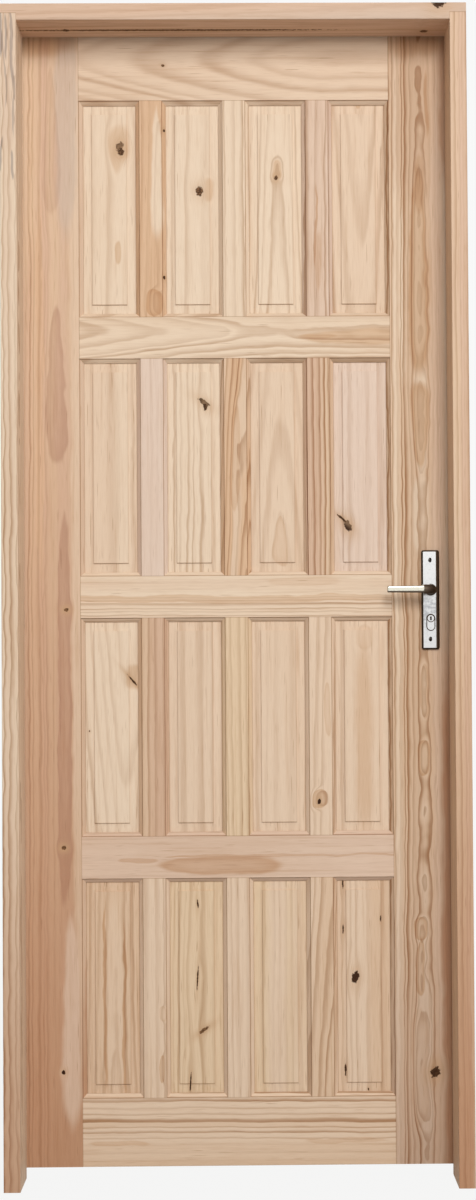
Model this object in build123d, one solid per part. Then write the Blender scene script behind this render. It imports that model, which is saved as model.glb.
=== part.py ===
from build123d import *

import os

# Panelled pine exterior door in its rebated frame, with butt hinges and a lever lock.
# Millimetres. X runs across the door from the hinge side, Y through it towards the side
# that the leaf opens to, and Z up. The origin is on the outer face of the hinge jamb,
# at its foot and in the middle of its depth.

# Leaf: two stiles, five rails, short muntins and fielded panels
leaf_width = 800.0
leaf_height = 2100.0
leaf_thickness = 35.0
stile_face = 111.0
top_rail_face = 125.0
middle_rail_face = 77.0
bottom_rail_face = 125.0
muntin_face = 41.0
panel_rows = 4
panel_columns = 4

# Moulded inner edges of the stiles, rails and muntins
sticking_width = 7.5
quirk_depth = 2.2
quirk_flat = 1.0
ovolo_depth = 7.0
ovolo_bulge = 0.25
groove_width = 14.0
groove_depth = 10.0

# Fielded panels, alike on both faces
panel_thickness = 20.0
bevel_width = 17.0
field_step = 2.2
tongue_clearance = 0.3
panel_edge_gap = 0.8

# Frame: two jambs and a head with a rebate that the leaf closes into
frame_depth = 140.0
frame_thickness = 30.0
rebate_depth = 13.0
frame_arris = 1.2
leaf_arris = 0.8

# Gaps round the closed leaf
hinge_gap = 5.0
latch_gap = 6.5
head_gap = 5.0
stop_gap = 5.0
floor_gap = 18.0

# Butt hinges
hinge_height = 89.0
hinge_plate_width = 30.0
hinge_plate_thickness = 2.0
hinge_plate_corner = 4.0
knuckle_radius = 5.5
knuckle_count = 3
knuckle_end_gap = 0.4
hinge_pin_radius = 3.0
hinge_pin_clearance = 0.06
hinge_pin_head_radius = 4.6
hinge_pin_head_height = 3.0
hinge_axis_standoff = 6.8
top_hinge_drop = 200.0
bottom_hinge_rise = 250.0

# Lock: where the lever turns, and the case let into the latch stile
backset = 40.0
lever_axis_rise = 1060.0
cylinder_drop = 53.0
lock_case_depth = 62.0
lock_case_thickness = 14.0
lock_case_above = 38.0
lock_case_below = 96.0
lock_front_width = 22.0
lock_front_thickness = 2.5
lock_front_above = 62.0
lock_front_below = 120.0
lock_clearance = 0.3
follower_hole_radius = 6.6
bolt_thickness = 11.0
bolt_length = 22.0
latch_bolt_height = 17.0
latch_bolt_slope = 7.0
dead_bolt_height = 30.0

# Oval lock cylinder with a round keyed plug at each end
cylinder_width = 16.0
cylinder_height = 31.0
cylinder_stand_out = 1.5
plug_radius = 6.2
plug_stand_out = 0.8
keyway_width = 2.0
keyway_height = 8.0
keyway_depth = 9.0

# Backplates, one on each face
plate_width = 33.0
plate_above = 73.5
plate_below = 110.5
plate_thickness = 6.0
plate_corner = 4.0
plate_edge_round = 3.0
plate_hole_clearance = 0.3

# Levers on a square spindle
lever_length = 83.0
lever_reach = 45.0
lever_root_height = 13.5
lever_root_thickness = 10.5
lever_tip_height = 12.0
lever_tip_thickness = 7.0
lever_edge_round = 2.8
lever_tip_round = 2.0
neck_radius = 8.75
elbow_radius = 16.0
collar_radius = 11.0
collar_height = 4.0
collar_chamfer = 1.2
spindle_size = 8.0
spindle_clearance = 0.1
spindle_insertion = 24.0
spindle_hole_radius = 9.0

# Strike plate on the latch jamb
strike_width = 24.0
strike_thickness = 2.0
strike_above = 34.0
strike_below = 92.0
strike_lip_height = 34.0
strike_hole_clearance = 2.0
strike_pocket_depth = 10.0

# Places that follow from the sizes
frame_front = -frame_depth / 2
frame_back = frame_depth / 2
stop_back = frame_back - leaf_thickness - stop_gap
leaf_front = stop_back + stop_gap
leaf_middle = leaf_front + leaf_thickness / 2
rebate_wall = frame_thickness - rebate_depth
leaf_left = rebate_wall + hinge_gap
leaf_right = leaf_left + leaf_width
latch_rebate = leaf_right + latch_gap
frame_width = latch_rebate + rebate_wall
leaf_bottom = floor_gap
leaf_top = leaf_bottom + leaf_height
jamb_top = leaf_top + head_gap
frame_height = jamb_top + rebate_wall
left_stile_edge = leaf_left + stile_face
right_stile_edge = leaf_right - stile_face
groove_offset = sticking_width - groove_depth
row_height = (
    leaf_height - top_rail_face - bottom_rail_face - (panel_rows - 1) * middle_rail_face
) / panel_rows
column_width = (
    right_stile_edge - left_stile_edge - (panel_columns - 1) * muntin_face
) / panel_columns
hinge_axis_x = rebate_wall + hinge_gap / 2
hinge_axis_y = frame_back + hinge_axis_standoff
hinge_levels = {
    "bottom": leaf_bottom + bottom_hinge_rise,
    "middle": (leaf_bottom + bottom_hinge_rise + leaf_top - top_hinge_drop) / 2,
    "top": leaf_top - top_hinge_drop,
}
lever_x = leaf_right - backset
lever_z = leaf_bottom + lever_axis_rise
cylinder_z = lever_z - cylinder_drop
plate_front = leaf_front - plate_thickness


def block(x_span, y_span, z_span):
    """A box between two places along each axis."""
    size = [high - low for low, high in (x_span, y_span, z_span)]
    middle = [(high + low) / 2 for low, high in (x_span, y_span, z_span)]
    return Pos(*middle) * Box(*size)


def rod(x, z, radius, y_span):
    """A round bar along Y between two places."""
    low, high = y_span
    return Pos(x, (low + high) / 2, z) * Rot(90, 0, 0) * Cylinder(radius, high - low)


def mirrored_to_back(shape):
    """The same piece on the leaf's other face."""
    return mirror(shape, Plane.XZ.offset(-leaf_middle))


def row_floor(row):
    """Height of the lower face edge of a row of panels, with row 0 at the top."""
    rows_below = panel_rows - 1 - row
    return leaf_bottom + bottom_rail_face + rows_below * (row_height + middle_rail_face)


def column_left(column):
    """Place of the left face edge of a column of panels."""
    return left_stile_edge + column * (column_width + muntin_face)


# Frame


def jamb_section():
    """Plan of the hinge jamb: a plank with the leaf's rebate cut from its back inner corner."""
    outline = Polyline(
        (0, frame_front),
        (frame_thickness, frame_front),
        (frame_thickness, stop_back),
        (rebate_wall, stop_back),
        (rebate_wall, frame_back),
        (0, frame_back),
        close=True,
    )
    section = make_face(outline)
    return fillet(section.vertices().group_by(Axis.Y)[0], frame_arris)


def make_hinge_jamb():
    return extrude(Plane.XY * jamb_section(), jamb_top)


def bolt_pockets():
    """Holes behind the strike plate for the latch and the dead bolt."""
    depth = (latch_rebate, latch_rebate + strike_thickness + strike_pocket_depth)
    return [strike_hole(height, level, depth) for height, level in bolt_levels()]


def make_latch_jamb():
    plain = mirror(make_hinge_jamb(), Plane.YZ.offset(frame_width / 2))
    jamb = plain - strike_blank()
    for pocket in bolt_pockets():
        jamb -= pocket
    return jamb


def make_head():
    """The head lies on the jambs, with its stop cut away at both ends to sit over them."""
    soffit = jamb_top - rebate_depth
    outline = Polyline(
        (frame_front, soffit),
        (stop_back, soffit),
        (stop_back, jamb_top),
        (frame_back, jamb_top),
        (frame_back, frame_height),
        (frame_front, frame_height),
        close=True,
    )
    section = make_face(outline)
    section = fillet(section.vertices().group_by(Axis.X)[0], frame_arris)
    head = extrude(Plane.YZ * section, frame_width)
    seat_height = (soffit, jamb_top)
    depth = (frame_front, frame_back)
    left_seat = block((0, frame_thickness), depth, seat_height)
    right_seat = block((frame_width - frame_thickness, frame_width), depth, seat_height)
    return head - left_seat - right_seat


# Framing of the leaf


def moulded_edge(edge, outward):
    """Half of a framing section's outline at one moulded edge, from the front face to the back.

    The quirk and the flat ovolo stand beyond the flat face, and the groove for the panels is
    sunk between them."""
    half = leaf_thickness / 2
    lip = edge + outward * sticking_width
    crown = half - quirk_depth
    foot = crown - ovolo_depth
    start = edge + outward * quirk_flat
    bottom = edge + outward * groove_offset
    run = sticking_width - quirk_flat
    chord = (run**2 + ovolo_depth**2) ** 0.5
    swell_x = (start + lip) / 2 + outward * ovolo_bulge * ovolo_depth / chord
    swell_y = (crown + foot) / 2 + ovolo_bulge * run / chord
    front_quirk = Polyline((edge, half), (edge, crown), (start, crown))
    front_curve = ThreePointArc((start, crown), (swell_x, swell_y), (lip, foot))
    groove = Polyline(
        (lip, foot),
        (lip, groove_width / 2),
        (bottom, groove_width / 2),
        (bottom, -groove_width / 2),
        (lip, -groove_width / 2),
        (lip, -foot),
    )
    back_curve = ThreePointArc((start, -crown), (swell_x, -swell_y), (lip, -foot))
    back_quirk = Polyline((start, -crown), (edge, -crown), (edge, -half))
    return front_quirk + front_curve + groove + back_curve + back_quirk


def plain_edge(edge):
    """The outline of a square edge with eased arrises."""
    half = leaf_thickness / 2
    return Polyline((edge, half), (edge, -half))


def framing_section(low, high, low_moulded, high_moulded):
    """Section of a stile, rail or muntin, from one face edge to the other across its width."""
    half = leaf_thickness / 2
    low_edge = moulded_edge(low, -1) if low_moulded else plain_edge(low)
    high_edge = moulded_edge(high, 1) if high_moulded else plain_edge(high)
    front_face = Line((low, half), (high, half))
    back_face = Line((low, -half), (high, -half))
    section = make_face(low_edge + high_edge + front_face + back_face)
    plain = [edge for edge, moulded in ((low, low_moulded), (high, high_moulded)) if not moulded]
    for edge in plain:
        corners = [v for v in section.vertices() if abs(v.X - edge) < leaf_arris]
        section = fillet(corners, leaf_arris)
    return section


def upright(low, high, low_moulded, high_moulded, z_span):
    """A stile or muntin: its section runs up Z."""
    plane = Plane((0, leaf_middle, z_span[0]), x_dir=(1, 0, 0), z_dir=(0, 0, 1))
    section = framing_section(low, high, low_moulded, high_moulded)
    return extrude(plane * section, z_span[1] - z_span[0])


def crosspiece(low, high, low_moulded, high_moulded, x_span):
    """A rail: its section runs along X."""
    plane = Plane((x_span[0], leaf_middle, 0), x_dir=(0, 0, 1), z_dir=(1, 0, 0))
    section = framing_section(low, high, low_moulded, high_moulded)
    return extrude(plane * section, x_span[1] - x_span[0])


def make_hinge_stile():
    return upright(leaf_left, left_stile_edge, False, True, (leaf_bottom, leaf_top))


def make_latch_stile():
    """The latch stile, with the mortise for the lock and the holes for spindle and cylinder."""
    stile = upright(right_stile_edge, leaf_right, True, False, (leaf_bottom, leaf_top))
    through = (leaf_front, leaf_front + leaf_thickness)
    stile -= lock_blank(lock_clearance)
    stile -= rod(lever_x, lever_z, spindle_hole_radius, through)
    stile -= cylinder_blank(through, lock_clearance)
    return stile


def rail_faces():
    """Lower and upper face edge of each rail, from the bottom rail up."""
    faces = [(leaf_bottom, leaf_bottom + bottom_rail_face)]
    for row in reversed(range(panel_rows)):
        lower = row_floor(row) + row_height
        upper = lower + (middle_rail_face if row else top_rail_face)
        faces.append((lower, upper))
    return faces


def make_rails(stiles):
    """Rails between the stiles, coped over their moulding and tongued into their grooves."""
    x_span = (left_stile_edge + groove_offset, right_stile_edge - groove_offset)
    rails = []
    for number, (low, high) in enumerate(rail_faces()):
        rail = crosspiece(low, high, number > 0, number < panel_rows, x_span)
        for stile in stiles:
            rail -= stile
        rails.append(rail)
    return rails


def make_muntins(row, rails):
    """The short uprights of one row, coped over the rails above and below them."""
    low = row_floor(row)
    z_span = (low + groove_offset, low + row_height - groove_offset)
    rail_below = rails[panel_rows - 1 - row]
    rail_above = rails[panel_rows - row]
    muntins = []
    for column in range(1, panel_columns):
        right = column_left(column)
        muntin = upright(right - muntin_face, right, True, True, z_span)
        muntins.append(muntin - rail_below - rail_above)
    return muntins


def make_panel(row, column):
    """A fielded panel: its tongue lies in the grooves, and a bevel rises to the raised field."""
    tongue_thickness = groove_width - 2 * tongue_clearance
    tongue_inset = groove_offset + panel_edge_gap
    tongue = Box(
        column_width - 2 * tongue_inset, tongue_thickness, row_height - 2 * tongue_inset
    )
    clear_width = column_width - 2 * sticking_width
    clear_height = row_height - 2 * sticking_width
    field_width = clear_width - 2 * bevel_width
    field_height = clear_height - 2 * bevel_width
    rise = panel_thickness / 2 - field_step - tongue_thickness / 2
    bevel = Wedge(
        clear_width,
        rise,
        clear_height,
        bevel_width,
        bevel_width,
        clear_width - bevel_width,
        clear_height - bevel_width,
    )
    field = Pos(0, rise / 2 + field_step / 2, 0) * Box(field_width, field_step, field_height)
    raised = Pos(0, tongue_thickness / 2 + rise / 2, 0) * (bevel + field)
    panel = tongue + raised + mirror(raised, Plane.XZ)
    middle_x = column_left(column) + column_width / 2
    middle_z = row_floor(row) + row_height / 2
    return Pos(middle_x, leaf_middle, middle_z) * panel


# Hinges


def knuckle_spans(level, on_jamb):
    """Heights of the knuckles that belong to the jamb's plate or to the door's plate."""
    pitch = hinge_height / knuckle_count
    bottom = level - hinge_height / 2
    first = 0 if on_jamb else 1
    spans = []
    for number in range(first, knuckle_count, 2):
        low = bottom + number * pitch + knuckle_end_gap / 2
        spans.append((low, low + pitch - knuckle_end_gap))
    return spans


def barrel(radius, z_span):
    """A round bar on the hinge axis."""
    low, high = z_span
    return Pos(hinge_axis_x, hinge_axis_y, (low + high) / 2) * Cylinder(radius, high - low)


def make_hinge_plate(level, on_jamb):
    """One plate of a hinge, with its share of the knuckles rolled round the pin."""
    seat = rebate_wall if on_jamb else leaf_left
    away = seat + hinge_plate_thickness * (1 if on_jamb else -1)
    x_span = (min(seat, away), max(seat, away))
    z_span = (level - hinge_height / 2, level + hinge_height / 2)
    plate = block(x_span, (frame_back - hinge_plate_width, frame_back), z_span)
    inner_corners = plate.edges().filter_by(Axis.X).group_by(Axis.Y)[0]
    plate = fillet(inner_corners, hinge_plate_corner)
    bore = barrel(hinge_pin_radius + hinge_pin_clearance, z_span)
    for span in knuckle_spans(level, on_jamb):
        web = block(x_span, (frame_back, hinge_axis_y), span)
        plate += web + barrel(knuckle_radius, span)
    return plate - bore


def make_hinge_pin(level):
    """A pin through all the knuckles of one hinge, with a button at each end."""
    half = hinge_height / 2
    pin = barrel(hinge_pin_radius, (level - half, level + half))
    for end in (-1, 1):
        tip = level + end * (half + hinge_pin_head_height)
        button = barrel(hinge_pin_head_radius, tuple(sorted((level + end * half, tip))))
        outer = button.faces().sort_by(Axis.Z)[-1 if end > 0 else 0]
        pin += chamfer(outer.edges(), hinge_pin_head_height / 2)
    return pin


# Lock


def bolt_levels():
    """Height and middle of the latch bolt and of the dead bolt."""
    return [(latch_bolt_height, lever_z), (dead_bolt_height, cylinder_z)]


def bolt_blank(height, level, clearance):
    """The space of a bolt drawn back into the lock, flush with its front."""
    half = bolt_thickness / 2 + clearance
    return block(
        (leaf_right - bolt_length - clearance, leaf_right),
        (leaf_middle - half, leaf_middle + half),
        (level - height / 2 - clearance, level + height / 2 + clearance),
    )


def lock_blank(clearance):
    """The lock's case and front plate as one closed shape, grown by a clearance."""
    front_inside = leaf_right - lock_front_thickness
    half_front = lock_front_width / 2 + clearance
    half_case = lock_case_thickness / 2 + clearance
    front = block(
        (front_inside - clearance, leaf_right),
        (leaf_middle - half_front, leaf_middle + half_front),
        (lever_z - lock_front_below - clearance, lever_z + lock_front_above + clearance),
    )
    case = block(
        (front_inside - lock_case_depth - clearance, front_inside),
        (leaf_middle - half_case, leaf_middle + half_case),
        (lever_z - lock_case_below - clearance, lever_z + lock_case_above + clearance),
    )
    return front + case


def make_mortise_lock():
    """Lock case with its front plate, open for the bolts, the spindle and the cylinder."""
    lock = lock_blank(0)
    through = (leaf_front, leaf_front + leaf_thickness)
    lock -= rod(lever_x, lever_z, follower_hole_radius, through)
    lock -= cylinder_blank(through, lock_clearance)
    for height, level in bolt_levels():
        lock -= bolt_blank(height, level, lock_clearance)
    return lock


def make_latch_bolt():
    """The sprung latch, its nose sloped on the side that meets the strike plate first."""
    bolt = bolt_blank(latch_bolt_height, lever_z, 0)
    nose = bolt.edges().filter_by(Axis.Z).group_by(Axis.X)[-1].sort_by(Axis.Y)[0]
    return chamfer(nose, latch_bolt_slope)


def make_dead_bolt():
    return bolt_blank(dead_bolt_height, cylinder_z, 0)


def cylinder_blank(y_span, clearance):
    """The oval outline of the lock cylinder, through from one place to another."""
    width = cylinder_width + 2 * clearance
    height = cylinder_height + 2 * clearance
    # The plug is at the top of the oval, so the oval hangs below its axis.
    middle_z = cylinder_z + cylinder_width / 2 - cylinder_height / 2
    plane = Plane((lever_x, y_span[1], middle_z), x_dir=(1, 0, 0), z_dir=(0, -1, 0))
    return extrude(plane * SlotOverall(height, width, rotation=90), y_span[1] - y_span[0])


def make_lock_cylinder():
    """The oval cylinder through the leaf, with a keyed plug on each face."""
    face = plate_front - cylinder_stand_out
    half_length = leaf_middle - face
    cylinder = cylinder_blank((face, leaf_middle + half_length), 0)
    plug = rod(lever_x, cylinder_z, plug_radius, (face - plug_stand_out, face))
    keyway = block(
        (lever_x - keyway_width / 2, lever_x + keyway_width / 2),
        (face - plug_stand_out, face - plug_stand_out + keyway_depth),
        (cylinder_z - keyway_height / 2, cylinder_z + keyway_height / 2),
    )
    cylinder += plug + mirrored_to_back(plug)
    return cylinder - keyway - mirrored_to_back(keyway)


def make_front_backplate():
    """A long plate with rounded edges, pierced for the lever's neck and the cylinder."""
    height = plate_above + plate_below
    middle_z = lever_z + (plate_above - plate_below) / 2
    plane = Plane((lever_x, leaf_front, middle_z), x_dir=(1, 0, 0), z_dir=(0, -1, 0))
    plate = extrude(plane * RectangleRounded(plate_width, height, plate_corner), plate_thickness)
    rim = plate.faces().sort_by(Axis.Y)[0].edges()
    plate = fillet(rim, plate_edge_round)
    through = (plate_front, leaf_front)
    plate -= rod(lever_x, lever_z, neck_radius + plate_hole_clearance, through)
    return plate - cylinder_blank(through, plate_hole_clearance)


# Levers


def make_lever_bar():
    """The lever's bar, tapered to its tip, with rounded edges. Its root lies against the elbow."""
    root, tip = lever_root_thickness, lever_tip_thickness
    root_height, tip_height = lever_root_height, lever_tip_height
    length = lever_length - elbow_radius
    blank = Wedge(
        root,
        length,
        root_height,
        (root - tip) / 2,
        (root_height - tip_height) / 2,
        (root + tip) / 2,
        (root_height + tip_height) / 2,
    )
    long_edges = blank.edges().filter_by(lambda edge: edge.length >= length)
    bar = fillet(long_edges, lever_edge_round)
    bar = fillet(bar.faces().sort_by(Axis.Y)[-1].edges(), lever_tip_round)
    middle_x = lever_x - elbow_radius - length / 2
    return Pos(middle_x, leaf_front - lever_reach, lever_z) * Rot(0, 0, 90) * bar


def make_front_lever():
    """A lever: a round neck out of the backplate, an elbow, and a tapered bar towards the hinges."""
    bar_root = lever_x - elbow_radius
    elbow_start = leaf_front - lever_reach + elbow_radius
    neck = rod(lever_x, lever_z, neck_radius, (elbow_start, leaf_front))
    bend_axis = Axis((bar_root, elbow_start, lever_z), (0, 0, -1))
    bend_plane = Plane((lever_x, elbow_start, lever_z), x_dir=(1, 0, 0), z_dir=(0, -1, 0))
    elbow = revolve(bend_plane * Circle(neck_radius), bend_axis, 90)
    collar_back = plate_front - plate_hole_clearance
    collar = rod(lever_x, lever_z, collar_radius, (collar_back - collar_height, collar_back))
    collar = chamfer(collar.faces().sort_by(Axis.Y)[0].edges(), collar_chamfer)
    socket_size = spindle_size + 2 * spindle_clearance
    socket = block(
        (lever_x - socket_size / 2, lever_x + socket_size / 2),
        (leaf_front - spindle_insertion, leaf_front),
        (lever_z - socket_size / 2, lever_z + socket_size / 2),
    )
    return make_lever_bar() + elbow + neck + collar - socket


def make_spindle():
    half = spindle_size / 2
    reach = leaf_thickness / 2 + spindle_insertion - spindle_clearance
    return block(
        (lever_x - half, lever_x + half),
        (leaf_middle - reach, leaf_middle + reach),
        (lever_z - half, lever_z + half),
    )


# Strike plate


def strike_hole(height, level, x_span):
    """A hole for one bolt through the strike plate or into the jamb behind it."""
    half = bolt_thickness / 2 + strike_hole_clearance
    z_half = height / 2 + strike_hole_clearance
    return block(x_span, (leaf_middle - half, leaf_middle + half), (level - z_half, level + z_half))


def strike_blank():
    """The strike plate before its holes: a plate let in flush, with a lip to the back edge."""
    x_span = (latch_rebate, latch_rebate + strike_thickness)
    half = strike_width / 2
    plate = block(
        x_span,
        (leaf_middle - half, leaf_middle + half),
        (lever_z - strike_below, lever_z + strike_above),
    )
    lip_half = strike_lip_height / 2
    lip = block(x_span, (leaf_middle, frame_back), (lever_z - lip_half, lever_z + lip_half))
    return plate + lip


def make_strike_plate():
    plate = strike_blank()
    x_span = (latch_rebate, latch_rebate + strike_thickness)
    for height, level in bolt_levels():
        plate -= strike_hole(height, level, x_span)
    return plate


def make_pieces():
    """Every piece by its node's name. A node that holds several like pieces is a list."""
    stiles = [make_hinge_stile(), make_latch_stile()]
    rails = make_rails(stiles)
    rail_names = ["bottom_rail", "lower_rail", "lock_rail", "upper_rail", "top_rail"]
    front_backplate = make_front_backplate()
    front_lever = make_front_lever()
    pieces = {
        "hinge_jamb": make_hinge_jamb(),
        "latch_jamb": make_latch_jamb(),
        "head": make_head(),
        "strike_plate": make_strike_plate(),
        "hinge_plates_on_jamb": [make_hinge_plate(z, True) for z in hinge_levels.values()],
        "hinge_plates_on_door": [make_hinge_plate(z, False) for z in hinge_levels.values()],
        "hinge_pins": [make_hinge_pin(z) for z in hinge_levels.values()],
        "hinge_stile": stiles[0],
        "latch_stile": stiles[1],
        "mortise_lock": make_mortise_lock(),
        "latch_bolt": make_latch_bolt(),
        "dead_bolt": make_dead_bolt(),
        "lock_cylinder": make_lock_cylinder(),
        "front_backplate": front_backplate,
        "rear_backplate": mirrored_to_back(front_backplate),
        "front_lever": front_lever,
        "rear_lever": mirrored_to_back(front_lever),
        "lever_spindle": make_spindle(),
    }
    pieces.update(zip(rail_names, rails))
    for row in range(panel_rows):
        pieces[f"muntins_row_{row + 1}"] = make_muntins(row, rails)
        for column in range(panel_columns):
            pieces[f"panel_row_{row + 1}_column_{column + 1}"] = make_panel(row, column)
    return pieces


def main():
    os.makedirs("parts", exist_ok=True)
    for name, piece in make_pieces().items():
        shape = Compound(children=piece) if isinstance(piece, list) else piece
        export_step(shape, f"parts/{name}.step")


main()
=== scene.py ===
import math
from dataclasses import dataclass, replace

import bpy
from mathutils import Matrix, Vector


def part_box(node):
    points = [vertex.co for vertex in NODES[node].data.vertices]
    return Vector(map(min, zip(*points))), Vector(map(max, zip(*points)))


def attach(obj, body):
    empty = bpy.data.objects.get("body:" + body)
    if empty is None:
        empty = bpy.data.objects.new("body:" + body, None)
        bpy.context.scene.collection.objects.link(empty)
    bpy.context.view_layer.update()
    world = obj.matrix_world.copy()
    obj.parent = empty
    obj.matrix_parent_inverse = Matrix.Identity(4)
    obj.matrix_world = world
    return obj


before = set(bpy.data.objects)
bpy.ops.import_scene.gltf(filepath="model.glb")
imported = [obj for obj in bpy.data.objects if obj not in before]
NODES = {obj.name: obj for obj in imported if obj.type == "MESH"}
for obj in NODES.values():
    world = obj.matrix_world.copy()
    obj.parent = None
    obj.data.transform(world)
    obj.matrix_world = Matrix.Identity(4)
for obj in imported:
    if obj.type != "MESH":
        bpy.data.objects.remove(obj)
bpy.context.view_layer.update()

bl_info = {
    "name": "Panelled pine door",
    "version": (1, 0, 0),
    "blender": (4, 5, 0),
    "location": "View3D > Sidebar > Pine door",
    "description": "Dresses a panelled pine door, its frame and its lock, and sets up the view",
    "category": "Object",
}


# Settings


def colour(name, description, default):
    """A colour that a user can change."""
    return bpy.props.FloatVectorProperty(
        name=name, description=description, default=default, size=3, min=0, max=1, subtype="COLOR"
    )


def length(name, description, default):
    """A length in metres that a user can change."""
    return bpy.props.FloatProperty(
        name=name, description=description, default=default, precision=5, unit="LENGTH"
    )


def share(name, description, default):
    """A plain share from nought to one."""
    return bpy.props.FloatProperty(
        name=name, description=description, default=default, min=0, max=1, subtype="FACTOR"
    )


def place(name, description, default):
    """A point in the door's own frame, in metres."""
    return bpy.props.FloatVectorProperty(
        name=name, description=description, default=default, size=3, subtype="TRANSLATION", unit="LENGTH"
    )


def direction(name, description, default):
    """A direction in the door's own frame."""
    return bpy.props.FloatVectorProperty(
        name=name, description=description, default=default, size=3, subtype="DIRECTION"
    )


def number(name, description, default, unit="NONE"):
    """A number, with its unit if it has one."""
    return bpy.props.FloatProperty(name=name, description=description, default=default, unit=unit)


class PineSettings(bpy.types.PropertyGroup):
    """Colours of the bare pine and how strongly its figure shows."""

    cream: colour("Cream", "Palest sapwood", (0.80, 0.635, 0.475))
    sapwood: colour("Sapwood", "Common pale sapwood", (0.765, 0.585, 0.43))
    straw: colour("Straw", "Yellowish sapwood", (0.75, 0.565, 0.38))
    honey: colour("Honey", "Wood between sap and heart", (0.71, 0.51, 0.35))
    amber: colour("Amber", "Orange heartwood", (0.70, 0.47, 0.30))
    rose: colour("Rose", "Pinkish heartwood", (0.665, 0.455, 0.32))
    blush: colour("Blush", "Plain pinkish-grey wood", (0.72, 0.535, 0.405))
    shell: colour("Shell", "Pale pinkish-grey wood", (0.755, 0.59, 0.475))
    tan: colour("Tan", "Brown heartwood", (0.60, 0.395, 0.26))
    mauve: colour("Mauve", "Greyish-brown heartwood", (0.53, 0.35, 0.25))
    fawn: colour("Fawn", "Soft brown wood", (0.68, 0.47, 0.335))
    brick: colour("Brick", "Reddest heartwood", (0.515, 0.280, 0.162))
    ash: colour("Ash", "Greyish sapwood", (0.61, 0.475, 0.375))
    latewood: colour("Latewood", "Tint of the dark part of a growth ring", (0.56, 0.42, 0.31))
    # Heart tint also paints shade: the warm shade at the tops of the stiles, under the head.
    heart_and_shade_tint: colour("Heart tint", "Tint of a patch of heartwood", (0.80, 0.67, 0.55))
    heart_mauve: colour("Heart mauve", "Tint of a greyish patch of heartwood", (0.80, 0.72, 0.70))
    stain: colour("Stain", "Tint of a grey-blue stain", (0.56, 0.57, 0.63))
    knot_core: colour("Knot core", "Middle of a knot", (0.19, 0.095, 0.042))
    knot_bark: colour("Knot bark", "Bark round a dead knot", (0.034, 0.011, 0.003))
    knot_halo: colour("Knot halo", "Resin-rich wood round a knot", (0.55, 0.34, 0.19))
    # The joint line also paints shade in the moulding's fine step and round the panels.
    joint_and_shade_line: colour("Joint line", "Tint of the hairline where two pieces meet", (0.60, 0.50, 0.42))
    sweep: colour("Sweep", "Tint of broad darker sweeps", (0.90, 0.84, 0.78))
    streak: colour("Streak", "Tint of fine streaks", (0.80, 0.70, 0.61))
    fleck: colour("Fleck", "Tint of dark flecks", (0.58, 0.45, 0.35))
    fibre_tint: colour("Fibre tint", "Tint of the fibres", (0.78, 0.68, 0.58))
    fibre: share("Fibre", "How strongly the fine fibres show", 0.30)
    roughness: share("Roughness", "Roughness of the planed surface", 0.62)
    relief: length("Relief", "Height of the fibres above the surface", 0.00012)


class MetalSettings(bpy.types.PropertyGroup):
    """Finishes, painted dark reflections and painted shade, and small sizes of the handle, the lock and
    the hinges.
    """

    chrome: colour("Chrome", "Polished plating", (0.74, 0.74, 0.735))
    ivory: colour("Ivory", "Warm plating of the lever's bar", (0.56, 0.54, 0.46))
    # Tarnish is painted: a dark reflection along the backplates' rims, and shade in the cylinder's gaps
    # and keyway.
    dark_reflection_and_shade: colour("Tarnish", "Dulled plating along rims and in corners", (0.034, 0.021, 0.012))
    # The elbow colour also paints a dark reflection along the underside of the lever's bar.
    elbow: colour("Elbow", "Dulled plating of the lever's elbow", (0.10, 0.076, 0.056))
    smudge: colour("Smudge", "Tint of dust on the plating", (0.66, 0.66, 0.68))
    steel: colour("Steel", "Zinc-plated steel", (0.55, 0.55, 0.535))
    cloud: colour("Cloud", "Tint of clouds on the plated steel", (0.80, 0.80, 0.81))
    screw: colour("Screw", "Dulled screw heads", (0.055, 0.052, 0.048))
    chrome_roughness: share("Chrome roughness", "Roughness of the polished plating", 0.14)
    steel_roughness: share("Steel roughness", "Roughness of the plated steel", 0.38)
    # The rims are bands of painted dark reflection.
    rim_width: length("Rim width", "Width of the dulled rim on three sides of a backplate", 0.0034)
    wide_rim: length("Wide rim", "Width of the dulled rim on the latch side", 0.0074)
    oval_radius: length("Oval screw radius", "Radius of an oval screw head", 0.0046)
    oval_crown: length("Oval screw crown", "Height of an oval screw head", 0.0016)
    flat_radius: length("Flat screw radius", "Radius of a countersunk screw head", 0.0040)
    flat_crown: length("Flat screw crown", "How far a countersunk head stands out", 0.0002)
    slot_width: length("Slot width", "Width of a screw's slot", 0.0009)


class StageSettings(bpy.types.PropertyGroup):
    """The camera at the photograph's viewing angle, the light and the floor."""

    camera_place: place("Camera place", "Where the camera stands", (0.43556, -3.57672, 0.94283))
    camera_forward: direction("Camera forward", "Where the camera looks", (0.01165, 0.99975, 0.01923))
    camera_right: direction("Camera right", "The picture's right side", (0.99991, -0.01152, -0.00649))
    lens: number("Lens", "Focal length for a 36 mm sensor", 58.458, "CAMERA")
    shift_x: number("Shift X", "Sideways lens shift", -0.02378)
    shift_y: number("Shift Y", "Upward lens shift", 0.02188)
    key_place: place("Key light", "Where the large soft light hangs", (1.25, -5.2, 3.5))
    key_aim: place("Key aim", "What the large soft light points at", (0.42, 0.0, 1.1))
    key_width: length("Key width", "Width of the large soft light", 1.5)
    key_height: length("Key height", "Height of the large soft light", 2.4)
    key_power: number("Key power", "Power of the large soft light", 195.0, "POWER")
    side_place: place("Side light", "Where the weak light on the latch side hangs", (3.6, -3.6, 1.6))
    side_power: number("Side power", "Power of the weak light on the latch side", 32.0, "POWER")
    back_place: place("Back light", "Where the soft light behind the door hangs", (-0.6, 5.2, 3.5))
    back_power: number("Back power", "Power of the soft light behind the door", 150.0, "POWER")
    sky: number("Sky", "Strength of the even light from above", 0.427)
    backdrop: colour("Backdrop", "Colour that the camera sees behind the door", (0.94, 0.94, 0.935))
    floor: colour("Floor", "Colour of the plain floor", (0.40, 0.40, 0.395))
    floor_glow: share("Floor glow", "How far the floor near the door is lifted to the backdrop", 0.955)


# Shader expressions


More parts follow.
